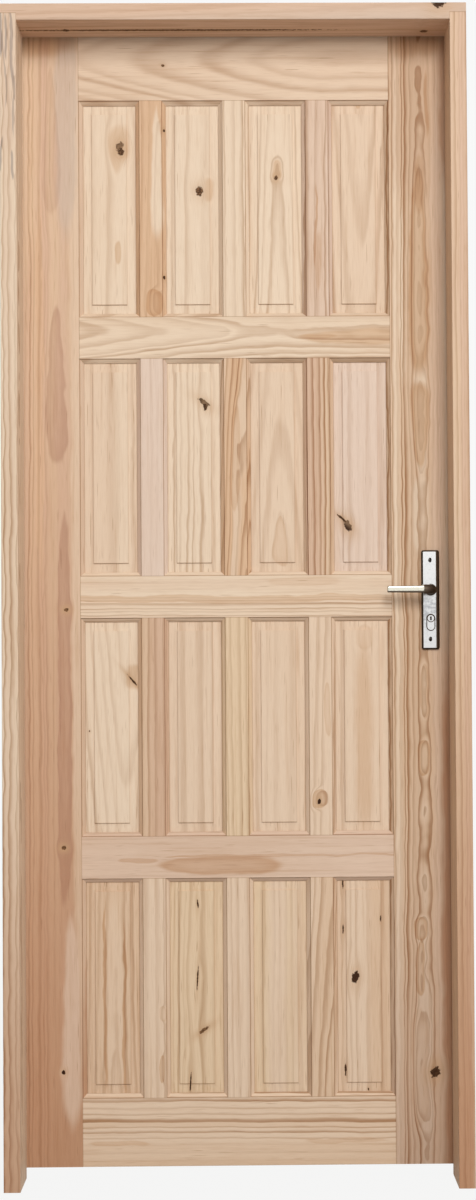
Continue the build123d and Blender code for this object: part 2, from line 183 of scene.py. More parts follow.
class Wire:
    """A socket of a node tree. Arithmetic on it adds Math nodes."""

    def __init__(self, tree, socket=None):
        self.tree = tree
        self.socket = socket

    def node(self, kind, settings=None, inputs=None, output=0):
        """Adds a node with its settings, then its values and links, and gives one of its outputs."""
        made = self.tree.nodes.new(kind)
        for name, value in (settings or {}).items():
            setattr(made, name, value)
        for name, value in (inputs or {}).items():
            if isinstance(value, Wire):
                self.tree.links.new(value.socket, made.inputs[name])
            else:
                made.inputs[name].default_value = value
        return Wire(self.tree, made.outputs[output] if made.outputs else None)

    def math(self, operation, *others):
        """A Math node with this value first."""
        return self.node("ShaderNodeMath", {"operation": operation}, dict(enumerate((self, *others))))

    def __add__(self, other):
        return self.math("ADD", other)

    __radd__ = __add__

    def __sub__(self, other):
        return self.math("SUBTRACT", other)

    def __rsub__(self, other):
        return self.node("ShaderNodeMath", {"operation": "SUBTRACT"}, {0: other, 1: self})

    def __mul__(self, other):
        return self.math("MULTIPLY", other)

    __rmul__ = __mul__

    def __truediv__(self, other):
        return self.math("DIVIDE", other)

    def __gt__(self, other):
        return self.math("GREATER_THAN", other)

    def __abs__(self):
        return self.math("ABSOLUTE")

    def rise(self, low, high):
        """Smooth step from nought at low to one at high."""
        return self.node(
            "ShaderNodeMapRange",
            {"interpolation_type": "SMOOTHSTEP"},
            {"Value": self, "From Min": low, "From Max": high},
        )

    def mix(self, first, second):
        """The first colour where this is nought and the second where it is one."""
        ends = {0: self, 6: rgba(first), 7: rgba(second)}
        return self.node("ShaderNodeMix", {"data_type": "RGBA"}, ends, 2)

    def tint(self, base, by):
        """The base colour, multiplied by another as far as this says."""
        ends = {0: self, 6: rgba(base), 7: rgba(by)}
        return self.node("ShaderNodeMix", {"data_type": "RGBA", "blend_type": "MULTIPLY"}, ends, 2)

    def noise(self, scale, detail=2.0, dimensions="1D"):
        """Soft noise about a half, along a number or over a vector."""
        where = "W" if dimensions == "1D" else "Vector"
        inputs = {where: self, "Scale": scale, "Detail": detail}
        return self.node("ShaderNodeTexNoise", {"noise_dimensions": dimensions}, inputs)


def rgba(value):
    """A colour with its alpha, or a link as it is."""
    return value if isinstance(value, Wire) else (*value, 1.0)


def vector(x, y, z):
    """A point made of three values."""
    wire = next(value for value in (x, y, z) if isinstance(value, Wire))
    return wire.node("ShaderNodeCombineXYZ", inputs={0: x, 1: y, 2: z})


def new_material(name):
    """An empty material and a wire to build from."""
    material = bpy.data.materials.new(name)
    material.use_nodes = True
    material.node_tree.nodes.clear()
    return material, Wire(material.node_tree)


def end_with(wire, inputs, height=None, distance=0.0):
    """Ends a material with a Principled BSDF, with a bump if a height is given."""
    if height is not None:
        bump = {"Strength": 1.0, "Distance": distance, "Height": height}
        inputs["Normal"] = wire.node("ShaderNodeBump", inputs=bump)
    shader = wire.node("ShaderNodeBsdfPrincipled", inputs=inputs)
    wire.node("ShaderNodeOutputMaterial", inputs={"Surface": shader})


def place_axes(wire):
    """X, Y and Z in the door's own frame."""
    point = wire.node("ShaderNodeTexCoord", output=3)
    return [wire.node("ShaderNodeSeparateXYZ", inputs={0: point}, output=i) for i in range(3)]


def wear(node, material):
    """Gives a CAD node its material."""
    NODES[node].material_slots[0].material = material


def middle_of(node, axis):
    """The middle of a CAD node along an axis."""
    low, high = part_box(node)
    return (low[axis] + high[axis]) / 2


# Pine

# How far a panel's tongue goes beyond the flat face of the piece that holds it
TONGUE = 0.0017
# How far the moulding covers a panel's edge, and how wide the bevel round its field is
PANEL_COVER = 0.0092
BEVEL = 0.0170
# Depth of the fine step beside the moulding, and the leaf's thickness
QUIRK = 0.0022
LEAF = 0.035


@dataclass
class Knot:
    """A dead knot or a slit of bark: its place, half its width and height, and its lean to the left.

    One with a depth shows only that far behind the front face, as on the underside of the head.
    """

    across: float
    along: float
    width: float
    height: float
    lean: float = 0.0
    dark: float = 0.8
    halo: float = 0.5
    bend: float = 0.85
    deep: float = -1.0


@dataclass
class Patch:
    """A patch in the wood: its place, half its width and height, and how many rings close round it.

    Its flare widens it towards its top, or narrows it. Its edge is sharp or soft. It is tinted as far as
    its share says, or is of another wood if one is named.
    """

    across: float
    along: float
    width: float
    height: float
    lift: float = 1.0
    tint: str = "heart_and_shade_tint"
    share: float = 0.8
    flare: float = 0.0
    wood: str = ""
    edge: float = 0.14


@dataclass
class Board:
    """How a board was cut from its log: its wood, and where the pith runs behind its face.

    Its rings taper to an apex, for as far as its run says. They waver, and they fade where it is calm.
    """

    tone: str
    middle: float = 0.0
    pith: float = 0.0
    depth: float = 0.03
    taper: float = 0.01
    apex: float = 0.0
    spacing: float = 0.007
    sway: float = 0.004
    contrast: float = 0.8
    late: float = 0.35
    bite: float = 1.0
    second: str = ""
    foot: str = ""
    turn: tuple = (0.0, 1.0)
    side: str = ""
    waver: float = 0.0025
    run: float = 0.0
    calm: tuple = ()
    soft: float = 0.09


def cut(tone, pith, taper, spacing, contrast, **rest):
    """A board known by its wood, where its pith lies, and its rings' taper, spacing and contrast."""
    return Board(tone, pith=pith, taper=taper, spacing=spacing, contrast=contrast, **rest)


class Pine:
    """The shader of one node's bare pine, built up step by step."""

    def __init__(self, node, boards, upright, limits):
        self.tones = bpy.context.scene.pine_settings
        self.material, self.wire = new_material(node + "_pine")
        self.x, self.y, self.z = place_axes(self.wire)
        self.along, self.across = (self.z, self.x) if upright else (self.x, self.z)
        self.low, self.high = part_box(node)
        self.inward = self.y - self.low.y
        self.boards = boards
        self.limits = limits
        self.seed = sum(map(ord, node)) % 97 * 0.173

    def pick(self, value):
        """A number that changes from one board of the node to the next."""
        values = [value(board) for board in self.boards]
        result = values[0]
        for limit, before, after in zip(self.limits, values, values[1:]):
            if after != before:
                result = (self.x > limit) * (after - before) + result
        return result

    def pick_tone(self, value):
        """A named tone that changes from one board of the node to the next."""
        names = [value(board) for board in self.boards]
        result = getattr(self.tones, names[0])
        for limit, before, after in zip(self.limits, names, names[1:]):
            if after != before:
                result = (self.x > limit).mix(result, getattr(self.tones, after))
        return result

    def grain(self, scale, run, detail=2.0):
        """Noise that is drawn out along the grain."""
        return vector(self.bent + self.seed, self.inward, self.along * run).noise(scale, detail, "3D")

    def bend_round(self, knots):
        """Bends the grain round the knots."""
        self.bent = self.across
        for knot in knots:
            side = self.across - knot.across
            run = self.along - knot.along
            reach = max(knot.width, knot.height / 3)
            near = side * side / (2.6 * reach) ** 2 + run * run / (3.2 * max(reach, knot.height)) ** 2
            self.bent = self.bent - side * (near * -1.0).math("EXPONENT") * knot.bend

    def grow_rings(self, patches):
        """Growth rings round the pith, closed round each patch."""
        self.slow = self.grain(9.0, 0.16) - 0.5
        wave = self.grain(30.0, 0.13) - 0.5
        ripple = self.grain(22.0, 0.65) - 0.5
        fine = self.grain(95.0, 0.10) - 0.5
        side = self.bent - self.pick(lambda b: b.middle + b.pith)
        deep = self.pick(lambda b: b.depth) - self.inward * self.pick(lambda b: b.bite)
        reach = (side * side + deep * deep).math("SQRT") - self.pick(lambda b: b.depth)
        run = self.along - self.pick(lambda b: b.apex)
        if self.boards[0].run:
            run = run.math("SMOOTH_MIN", self.boards[0].run, 0.12)
        reach = reach + run * self.pick(lambda b: b.taper) + self.slow * self.pick(lambda b: 2 * b.sway)
        reach = reach + wave * 0.005 + ripple * self.pick(lambda b: 2 * b.waver) + fine * 0.0016
        ring = reach / self.pick(lambda b: b.spacing)
        self.inside = []
        for patch in patches:
            along = (self.along - patch.along + self.slow * 0.05) / patch.height
            width = (along * patch.flare + 1.0).math("MAXIMUM", 0.15) * patch.width
            across = (self.bent - patch.across + wave * 0.010 + ripple * 0.014 + fine * 0.005) / width
            swell = (across * across + along * along * along * along) * -0.9
            self.inside.append(swell.math("EXPONENT"))
            ring = ring - self.inside[-1] * patch.lift
        ring = ring + ((ring + self.seed).noise(0.37, 1.0) - 0.5) * 2.0
        turn = ring.math("FRACT")
        number = ring.math("FLOOR") + self.seed
        chance = self.wire.node("ShaderNodeTexWhiteNoise", {"noise_dimensions": "1D"}, {"W": number})
        peak = 1.0 - self.boards[0].soft
        late = turn.rise(self.pick(lambda b: b.late), peak - 0.01) * (1.0 - turn.rise(peak, 1.0))
        fade = self.grain(15.0, 0.10).rise(0.25, 0.70) * 0.7 + 0.5
        self.late = late * (chance * 0.75 + 0.25) * fade * self.pick(lambda b: b.contrast)
        if self.boards[0].calm:
            quiet, lively = self.boards[0].calm
            self.late = self.late * ((self.bent + wave * 0.02).rise(quiet, lively) * 0.85 + 0.15)
        self.band = (ring + 3 * self.seed).noise(0.21, 1.0).rise(0.42, 0.60)

    def colour_boards(self, patches):
        """The ground colour with its bands, patches, rings, streaks and fibres."""
        shade = self.pick_tone(lambda b: b.tone)
        if any(board.second for board in self.boards):
            shade = self.band.mix(shade, self.pick_tone(lambda b: b.second or b.tone))
        footed = [board for board in self.boards if board.foot]
        if footed:
            low, high = footed[0].turn
            drift = 1.0 - (self.along + self.slow * 0.5).rise(low, high)
            shade = drift.mix(shade, getattr(self.tones, footed[0].foot))
        for patch, inside in zip(patches, self.inside):
            if patch.wood:
                wood = getattr(self.tones, patch.wood)
                shade = (inside.rise(0.22, 0.62) * patch.share).mix(shade, wood)
        sided = [board for board in self.boards if board.side]
        if sided:
            shade = self.inward.rise(0.0005, 0.0035).mix(shade, getattr(self.tones, sided[0].side))
        shade = self.late.tint(shade, self.tones.latewood)
        for patch, inside in zip(patches, self.inside):
            if not patch.wood:
                core = inside.rise(0.50, 1.0) * max(0.0, 0.55 - patch.edge)
                mask = inside.rise(0.36, 0.36 + patch.edge) * (1.0 - core) * patch.share
                shade = mask.tint(shade, getattr(self.tones, patch.tint))
        shade = (self.slow.rise(0.0, 0.22) * 0.5).tint(shade, self.tones.sweep)
        streak = self.grain(150.0, 0.03, 3.0)
        shade = (streak.rise(0.50, 0.78) * 0.55).tint(shade, self.tones.streak)
        fleck = self.grain(460.0, 0.035, 1.0)
        shade = (fleck.rise(0.66, 0.76) * 0.55).tint(shade, self.tones.fleck)
        self.fibre = self.grain(1000.0, 0.03, 3.0)
        shown = self.fibre.rise(0.40, 0.75) * self.tones.fibre
        self.shade = shown.tint(shade, self.tones.fibre_tint)

    def lay_knots(self, knots):
        """Ragged knots with bark in them and resin-rich wood round them."""
        self.height = self.late * 0.5 + self.fibre
        if not knots:
            return
        ragged = vector(self.x, self.y, self.z).noise(210.0, 3.0, "3D")
        blot = vector(self.x, self.y, self.z).noise(330.0, 2.0, "3D").rise(0.42, 0.62)
        for knot in knots:
            side = self.across - knot.across
            run = self.along - knot.along
            wide = (side * math.cos(knot.lean) + run * math.sin(knot.lean)) / knot.width
            tall = (run * math.cos(knot.lean) - side * math.sin(knot.lean)) / knot.height
            far = wide * wide + tall * tall
            if knot.deep >= 0:
                below = (self.inward - knot.deep) / knot.width
                far = far + below * below
            far = far.math("SQRT")
            halo = (far * far * -0.16).math("EXPONENT") * (self.fibre + 0.4) * knot.halo
            self.shade = halo.mix(self.shade, self.tones.knot_halo)
            edge = far + (ragged - 0.5) * 1.5
            inside = 1.0 - edge.rise(0.85, 1.18)
            bark = blot * (1.0 - knot.dark) * 2.0 + (1.0 - knot.dark) * 0.5
            self.shade = inside.mix(self.shade, bark.mix(self.tones.knot_bark, self.tones.knot_core))
            self.height = self.height - inside * 1.5

    def darken(self, line, strength):
        """A darker hairline: a dark joint between two pieces, or painted shade."""
        self.shade = (line * strength).tint(self.shade, self.tones.joint_and_shade_line)

    def draw_joints(self, ends):
        """Hairlines where the board meets its neighbours."""
        for end in ends:
            self.darken(1.0 - abs(self.along - end).rise(0.0003, 0.0012), 1.0)

    def shade_quirk(self):
        """Painted shade in the fine step beside the moulding, on both faces of the leaf."""
        deep = self.inward.math("MINIMUM", LEAF - self.inward)
        self.darken(deep.rise(0.0003, 0.0010) * (1.0 - deep.rise(QUIRK, QUIRK + 0.0010)), 0.9)

    def soil_panel(self):
        """Painted shade where a panel goes under its moulding, a painted shadow along the foot of its
        field, and fainter painted shade up the field's sides.
        """
        middle = (self.low.x + self.high.x) / 2
        side = middle - self.low.x - abs(self.x - middle)
        gap = side.math("MINIMUM", self.high.z - self.z)
        self.darken(1.0 - gap.rise(PANEL_COVER, PANEL_COVER + 0.0020), 0.7)
        foot = abs(self.z - (self.low.z + PANEL_COVER + BEVEL))
        field = side.rise(PANEL_COVER + BEVEL - 0.0005, PANEL_COVER + BEVEL + 0.0005)
        self.darken((1.0 - foot.rise(0.0004, 0.0014)) * field, 0.6)
        edge = abs(side - PANEL_COVER - BEVEL)
        above = (self.z - self.low.z).rise(PANEL_COVER + BEVEL - 0.0005, PANEL_COVER + BEVEL + 0.0005)
        self.darken((1.0 - edge.rise(0.0003, 0.0016)) * above, 0.28)

    def finish(self):
        """Ends the material and gives it back."""
        rough = self.tones.roughness + (self.fibre - 0.5) * 0.16 - self.late * 0.06
        inputs = {"Base Color": self.shade, "Roughness": rough, "Specular IOR Level": 0.12}
        end_with(self.wire, inputs, self.height, self.tones.relief)
        return self.material


def pine_on(node, boards, upright, knots=(), patches=(), limits=(), ends=(), painted_shade=None):
    """Makes a node's pine, with its painted shade if it has any, and gives it to the node."""
    pine = Pine(node, boards, upright, limits)
    pine.bend_round(knots)
    pine.grow_rings(patches)
    pine.colour_boards(patches)
    pine.lay_knots(knots)
    pine.draw_joints(ends)
    if painted_shade:
        painted_shade(pine)
    wear(node, pine.finish())


# Grey stains near the top of the hinge jamb: place, half width and height, and share
STAINS = (
    (0.003, 2.090, 0.0045, 0.050, 1.0),
    (0.013, 2.080, 0.0025, 0.045, 0.9),
    (0.022, 2.060, 0.0030, 0.080, 0.9),
    (0.009, 2.010, 0.0020, 0.060, 0.7),
    (0.025, 1.965, 0.0025, 0.070, 0.7),
    (0.022, 1.848, 0.0030, 0.030, 0.9),
    (0.002, 1.870, 0.0025, 0.035, 0.9),
)


class DOOR_OT_frame_pine(bpy.types.Operator):
    """Pine for the two jambs and the head"""

    bl_idname = "pine_door.frame_pine"
    bl_label = "Frame pine"

    def execute(self, context):
        left = middle_of("hinge_jamb", 0)
        right = middle_of("latch_jamb", 0)
        top = middle_of("head", 2)
        joint = [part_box("hinge_jamb")[1].z]
        # The cream on the reveal is painted light: it makes the reveal paler, as if lit from the latch
        # side.
        board = Board(
            "sapwood", left, 0.05, taper=0.002, spacing=0.0078, sway=0.006, contrast=1.0, waver=0.006,
            second="cream", foot="brick", turn=(-0.40, 1.05), side="cream",
        )
        stains = [Patch(0.015, 2.020, 0.0300, 0.140, 0.0, share=0.4, wood="blush")]
        stains += [Patch(*spot, 0.2, "stain", share, edge=0.45) for *spot, share in STAINS]
        pine_on("hinge_jamb", [board], True, patches=stains, ends=joint)
        board = Board(
            "honey", right, -0.06, 0.05, 0.001, spacing=0.0060, sway=0.003, contrast=0.5, waver=0.002,
            second="fawn", foot="brick", turn=(-0.1, 1.25), side="honey",
        )
        edges = [
            # Painted shade: browner along the rounded outer edge of the jamb.
            Patch(0.848, 1.07, 0.009, 1.30, 0.0, share=0.65, wood="tan"),
            Patch(0.835, 1.85, 0.030, 0.34, 0.0, share=0.35, wood="fawn"),
        ]
        pine_on("latch_jamb", [board], True, patches=edges, ends=joint)
        board = Board(
            "ash", top, 0.02, taper=0.02, spacing=0.012, contrast=0.4, second="fawn", side="rose",
            soft=0.25,
        )
        knots = [
            Knot(2.141, 0.796, 0.010, 0.011, dark=0.9, deep=0.0),
            Knot(2.110, 0.775, 0.007, 0.007, dark=0.7, deep=0.070),
            Knot(2.110, 0.310, 0.0046, 0.275, dark=0.3, halo=0.3, bend=0.0, deep=0.060),
            Knot(2.110, 0.115, 0.0060, 0.006, dark=0.7, halo=0.3, bend=0.0, deep=0.060),
        ]
        pine_on("head", [board], False, knots)
        return {"FINISHED"}


# Boards, knots and patches of the stiles
STILES = {
    "hinge_stile": (
        Board(
            "fawn", 0.105, depth=0.015, taper=0.004, spacing=0.0085, sway=0.008, contrast=0.75,
            second="honey", foot="brick", turn=(-0.3, 1.9), waver=0.004, calm=(0.088, 0.066), soft=0.16,
        ),
        [
            Knot(0.107, 1.045, 0.0042, 0.0036, dark=0.25, halo=1.0),
            Knot(0.100, 0.605, 0.0044, 0.0038, dark=0.25, halo=1.0),
            Knot(0.098, 0.192, 0.0034, 0.0036, dark=1.0, halo=0.6),
        ],
        [
            Patch(0.132, 1.25, 0.014, 1.00, 0.0, share=0.6, wood="sapwood"),
            # Painted shade: a warm tint at the top of the stile, under the head.
            Patch(0.077, 2.118, 0.090, 0.050, 0.0, share=0.9, edge=0.6),
            Patch(0.110, 1.96, 0.020, 0.22, 0.3, share=0.7, wood="ash"),
            Patch(0.036, 1.92, 0.012, 0.26, 0.3, share=0.3, wood="straw"),
            Patch(0.060, 1.45, 0.007, 0.36, 0.4, share=0.55, wood="amber"),
            Patch(0.082, 1.92, 0.014, 0.14, 1.0, "heart_mauve", 0.5, -0.5),
            Patch(0.090, 1.46, 0.017, 0.150, 1.0, "heart_mauve", 0.9, -0.35),
            Patch(0.103, 0.86, 0.013, 0.360, 1.0, "heart_mauve", 0.9, -0.1),
            Patch(0.114, 0.290, 0.015, 0.190, 1.0, share=0.8, flare=-0.35, wood="blush"),
        ],
    ),
    "latch_stile": (
        Board(
            "cream", 0.768, depth=0.020, taper=0.002, spacing=0.0066, sway=0.004, contrast=1.3,
            late=0.30, second="honey", foot="mauve", turn=(-0.6, 0.9), waver=0.004, calm=(0.803, 0.772),
        ),
        [Knot(0.784, 0.187, 0.0078, 0.0105, -0.5, 0.9, 0.7)],
        [
            Patch(0.766, 2.02, 0.060, 0.22, 0.0, share=0.35, wood="tan"),
            # Painted shade: a warm tint at the top of the stile, under the head.
            Patch(0.766, 2.118, 0.090, 0.050, 0.0, share=0.8, edge=0.6),
            # Painted shade: browner along the edge beside the reveal.
            Patch(0.822, 1.07, 0.020, 1.20, 0.0, share=0.3, wood="tan"),
            Patch(0.797, 1.10, 0.012, 0.95, 0.0, share=0.5, wood="blush"),
            Patch(0.827, 0.40, 0.027, 0.62, 0.0, share=1.0, wood="brick"),
            Patch(0.827, 1.98, 0.022, 0.15, 0.0, share=0.7, wood="brick"),
            Patch(0.781, 1.985, 0.0045, 0.070, 0.2, share=0.9, edge=0.55),
            Patch(0.734, 1.62, 0.006, 0.17, 0.0, share=0.8, wood="cream"),
            Patch(0.766, 1.215, 0.014, 0.075, 0.0, share=0.8, wood="cream"),
            Patch(0.765, 1.675, 0.0185, 0.205, 1.3, share=1.0, flare=-0.35, edge=0.25),
            Patch(0.767, 1.835, 0.010, 0.060, 0.0, share=0.6, edge=0.40),
            Patch(0.766, 1.385, 0.016, 0.086, 1.3, share=1.0, flare=0.5, edge=0.30),
            Patch(0.769, 0.895, 0.009, 0.050, 0.6, share=0.6),
            Patch(0.768, 0.771, 0.009, 0.035, 0.8, share=0.9),
            Patch(0.760, 0.448, 0.014, 0.022, 1.0, share=0.9),
            Patch(0.759, 0.375, 0.008, 0.055, 1.0, share=0.9, flare=-0.2),
            Patch(0.757, 0.190, 0.016, 0.110, 2.0, share=0.35),
        ],
    ),
}


class DOOR_OT_stile_pine(bpy.types.Operator):
    """Pine for the two stiles of the leaf"""

    bl_idname = "pine_door.stile_pine"
    bl_label = "Stile pine"

    def execute(self, context):
        for node, (board, knots, patches) in STILES.items():
            # The fine step beside each moulding gets painted shade.
            pine_on(node, [board], True, knots, patches, painted_shade=Pine.shade_quirk)
        return {"FINISHED"}


# Boards, knots and patches of the rails
RAILS = {
    "top_rail": (
        Board(
            "sapwood", pith=0.02, depth=0.06, taper=-0.16, apex=0.235, spacing=0.015, contrast=0.6,
            late=0.2, run=0.30, soft=0.30,
        ),
        [Knot(2.058, 0.291, 0.0025, 0.0030, dark=0.5)],
        [],
    ),
    "upper_rail": (
        Board(
            "cream", pith=0.012, depth=0.045, taper=0.07, apex=0.218, spacing=0.0068, sway=0.002,
            contrast=0.75, late=0.05, run=0.24, soft=0.18,
        ),
        [],
        [
            Patch(1.549, 0.65, 0.017, 0.12, 0.4, share=0.85, flare=0.45, edge=0.40),
            Patch(1.550, 0.575, 0.005, 0.040, 0.2, share=0.5, edge=0.45),
        ],
    ),
    "lock_rail": (
        Board(
            "sapwood", pith=-0.075, depth=0.02, taper=0.003, spacing=0.0066, contrast=0.9,
            second="cream", calm=(1.078, 1.052),
        ),
        [],
        [
            Patch(1.065, 0.42, 0.007, 0.60, 0.3, share=0.7, edge=0.3),
            Patch(1.094, 0.55, 0.009, 0.07, 0.5, share=0.3, edge=0.3),
        ],
    ),
    "lower_rail": (
        cut("blush", 0.09, 0.012, 0.016, 0.25, depth=0.02),
        [],
        [
            Patch(0.579, 0.243, 0.006, 0.040, 0.2, share=0.7, edge=0.35),
            Patch(0.571, 0.395, 0.017, 0.120, 0.3, share=0.95, flare=0.20, edge=0.25),
            Patch(0.588, 0.530, 0.0022, 0.240, 0.2),
        ],
    ),
    "bottom_rail": (
        Board(
            "sapwood", pith=0.105, depth=0.02, taper=-0.006, spacing=0.0115, sway=0.003, contrast=1.2,
            late=0.45, second="honey", calm=(0.055, 0.085),
        ),
        [],
        [
            Patch(0.060, 0.20, 0.006, 0.06, 0.2, share=0.6, edge=0.35),
            Patch(0.062, 0.62, 0.005, 0.08, 0.2, share=0.5, edge=0.35),
        ],
    ),
}


class DOOR_OT_rail_pine(bpy.types.Operator):
    """Pine for the five rails of the leaf"""

    bl_idname = "pine_door.rail_pine"
    bl_label = "Rail pine"

    def execute(self, context):
        ends = [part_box("panel_row_1_column_1")[0].x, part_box("panel_row_1_column_4")[1].x]
        ends = [ends[0] + TONGUE, ends[1] - TONGUE]
        for node, (board, knots, patches) in RAILS.items():
            board = replace(board, middle=middle_of(node, 2))
            # The fine step beside each moulding gets painted shade.
            pine_on(node, [board], False, knots, patches, ends=ends, painted_shade=Pine.shade_quirk)
        return {"FINISHED"}


# Boards of the muntins row by row, and the knots and patches of each row
MUNTIN_BOARDS = [
    [
        Board("amber", pith=0.03, taper=0.012, spacing=0.010, sway=0.010, contrast=0.6),
        cut("cream", -0.06, 0.004, 0.012, 0.9),
        cut("shell", 0.05, 0.008, 0.012, 1.2, second="blush"),
    ],
    [
        cut("shell", 0.05, 0.003, 0.014, 0.2),
        Board("sapwood", pith=0.02, depth=0.012, taper=0.050, apex=1.30, contrast=0.9, second="amber"),
        cut("honey", -0.06, 0.003, 0.0085, 1.2, second="rose"),
    ],
    [
        cut("honey", 0.06, 0.004, 0.010, 0.8, second="rose"),
        cut("straw", -0.05, 0.006, 0.010, 0.6),
        cut("sapwood", 0.03, 0.02, 0.014, 0.7),
    ],
    [
        cut("sapwood", 0.06, 0.004, 0.014, 0.5),
        cut("sapwood", -0.05, 0.006, 0.012, 0.4),
        cut("sapwood", 0.03, 0.05, 0.010, 0.8, second="honey"),
    ],
]
MUNTIN_KNOTS = {
    1: [Knot(0.2925, 1.938, 0.0020, 0.0026, halo=0.8), Knot(0.2915, 1.663, 0.0022, 0.0034, halo=0.8)],
    3: [Knot(0.573, 0.687, 0.0030, 0.0052, dark=1.0, halo=0.9)],
}
MUNTIN_PATCHES = {
    1: [
        Patch(0.278, 1.860, 0.010, 0.120, 0.5, share=0.95, flare=-0.4, wood="cream"),
        Patch(0.274, 1.614, 0.017, 0.026, 1.0),
        Patch(0.574, 1.752, 0.0026, 0.085, 0.2, share=1.0, edge=0.45),
        Patch(0.579, 1.690, 0.0060, 0.060, 0.4, share=0.6, edge=0.45),
    ],
    2: [Patch(0.422, 1.33, 0.010, 0.10, 1.0, share=0.5)],
    3: [Patch(0.573, 0.687, 0.014, 0.017, 1.5), Patch(0.590, 0.85, 0.006, 0.05, 0.5, share=0.5)],
    4: [Patch(0.281, 0.200, 0.005, 0.026, 0.3), Patch(0.283, 0.300, 0.008, 0.014, 0.3, share=0.4)],
}


class DOOR_OT_muntin_pine(bpy.types.Operator):
    """Pine for the short muntins, each cut from another board"""

    bl_idname = "pine_door.muntin_pine"
    bl_label = "Muntin pine"

    def execute(self, context):
        for row, boards in enumerate(MUNTIN_BOARDS, 1):
            node = f"muntins_row_{row}"
            openings = [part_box(f"panel_row_{row}_column_{column}") for column in (1, 2, 3, 4)]
            middles = [(before[1].x + after[0].x) / 2 for before, after in zip(openings, openings[1:])]
            boards = [replace(board, middle=middle) for board, middle in zip(boards, middles)]
            limits = [(opening[0].x + opening[1].x) / 2 for opening in openings[1:3]]
            ends = [openings[0][0].z + TONGUE, openings[0][1].z - TONGUE]
            extras = (MUNTIN_KNOTS.get(row, []), MUNTIN_PATCHES[row])
            # The fine step beside each moulding gets painted shade.
            pine_on(node, boards, True, *extras, limits, ends, Pine.shade_quirk)
        return {"FINISHED"}


# Boards, knots and patches of the panels, by row and column
PANEL_BOARDS = {
    (1, 1): cut("cream", 0.020, 0.010, 0.016, 0.45),
    (1, 2): cut("cream", 0.030, 0.006, 0.018, 0.50),
    (1, 3): cut("cream", 0.005, 0.030, 0.011, 0.50),
    (1, 4): cut("sapwood", 0.005, -0.050, 0.014, 0.60, apex=1.923),
    (2, 1): cut("sapwood", -0.060, 0.004, 0.026, 0.50),
    (2, 2): cut("cream", 0.070, 0.004, 0.013, 0.65, waver=0.005),
    (2, 3): cut("sapwood", 0.010, 0.070, 0.016, 0.40, apex=1.23),
    (2, 4): cut("shell", 0.090, 0.002, 0.018, 0.35),
    (3, 1): cut("cream", 0.030, -0.070, 0.014, 0.55, apex=0.712),
    (3, 2): cut("sapwood", -0.080, 0.003, 0.022, 0.45),
    (3, 3): cut("sapwood", 0.080, 0.002, 0.020, 0.30),
    (3, 4): cut("sapwood", 0.010, 0.004, 0.018, 0.45, depth=0.02),
    (4, 1): cut("honey", 0.005, 0.014, 0.010, 0.70, depth=0.02, apex=0.46),
    (4, 2): cut("straw", 0.050, 0.006, 0.012, 0.55),
    (4, 3): cut("sapwood", -0.080, 0.002, 0.014, 0.35, second="straw"),
    (4, 4): cut("sapwood", 0.060, 0.003, 0.015, 0.60, second="honey"),
}
PANEL_KNOTS = {
    (1, 1): [
        Knot(0.209, 1.909, 0.0060, 0.0085, -0.4, 0.75),
        Knot(0.212, 1.899, 0.0060, 0.0070, 0.0, 0.7),
    ],
    (1, 2): [Knot(0.357, 1.825, 0.0065, 0.0085, 0.1, 0.55)],
    (1, 3): [Knot(0.501, 1.849, 0.0035, 0.0040, 0.0, 0.6, 0.9)],
    (2, 2): [Knot(0.364, 1.430, 0.0042, 0.0115, 0.95, 0.9), Knot(0.366, 1.421, 0.0032, 0.0065, 0.1)],
    (2, 4): [
        Knot(0.630, 1.199, 0.0060, 0.0105, 0.5, 1.0, 0.8),
        Knot(0.619, 1.213, 0.0020, 0.0115, 0.85, 0.8),
    ],
    (3, 1): [Knot(0.228, 0.914, 0.0018, 0.0130, 0.70, 0.8, 0.9), Knot(0.148, 0.820, 0.0012, 0.0016)],
    (4, 2): [
        Knot(0.347, 0.499, 0.0016, 0.0075, 0.1, 0.8),
        Knot(0.346, 0.362, 0.0013, 0.0210, -0.06, 0.8),
        Knot(0.332, 0.170, 0.0013, 0.0170, -0.06, 0.9),
        Knot(0.357, 0.266, 0.0030, 0.0100, -0.95, 0.1, 0.9),
    ],
    (4, 4): [
        Knot(0.638, 0.361, 0.0065, 0.0110, -0.25, 0.95),
        Knot(0.616, 0.534, 0.0016, 0.0080),
        Knot(0.616, 0.451, 0.0014, 0.0085),
        Knot(0.686, 0.469, 0.0014, 0.0055),
        Knot(0.619, 0.191, 0.0019, 0.0100),
        Knot(0.661, 0.154, 0.0014, 0.0028),
    ],
}
PANEL_PATCHES = {
    (1, 1): [
        Patch(0.208, 1.905, 0.018, 0.050, 0.6, share=0.6, flare=0.5, edge=0.5),
        Patch(0.207, 1.710, 0.006, 0.024, 0.3, edge=0.4),
    ],
    (1, 2): [Patch(0.373, 1.825, 0.014, 0.026, 0.3, share=0.7, edge=0.5)],
    (1, 3): [Patch(0.502, 1.860, 0.010, 0.020, 0.8, edge=0.4)],
    (1, 4): [Patch(0.655, 1.988, 0.006, 0.012, 0.2, edge=0.5)],
    (2, 1): [Patch(0.212, 1.33, 0.016, 0.26, 0.5, share=0.6, wood="cream")],
    (2, 3): [Patch(0.506, 1.17, 0.013, 0.045, 0.5, share=0.5, flare=-0.6)],
    (3, 1): [Patch(0.230, 0.915, 0.013, 0.026, 0.0, share=0.7, edge=0.5)],
    (3, 4): [
        Patch(0.660, 0.985, 0.018, 0.024, 0.8, share=0.3, edge=0.3),
        Patch(0.658, 0.80, 0.020, 0.20, 0.3, share=0.60, edge=0.6),
    ],
    (4, 1): [
        Patch(0.192, 0.32, 0.015, 0.18, 0.0, share=0.5, wood="sapwood"),
        Patch(0.175, 0.33, 0.0035, 0.19, 0.0, share=1.0, flare=-0.3, edge=0.45),
        Patch(0.2105, 0.30, 0.0040, 0.18, 0.0, share=1.0, flare=-0.3, edge=0.45),
    ],
}


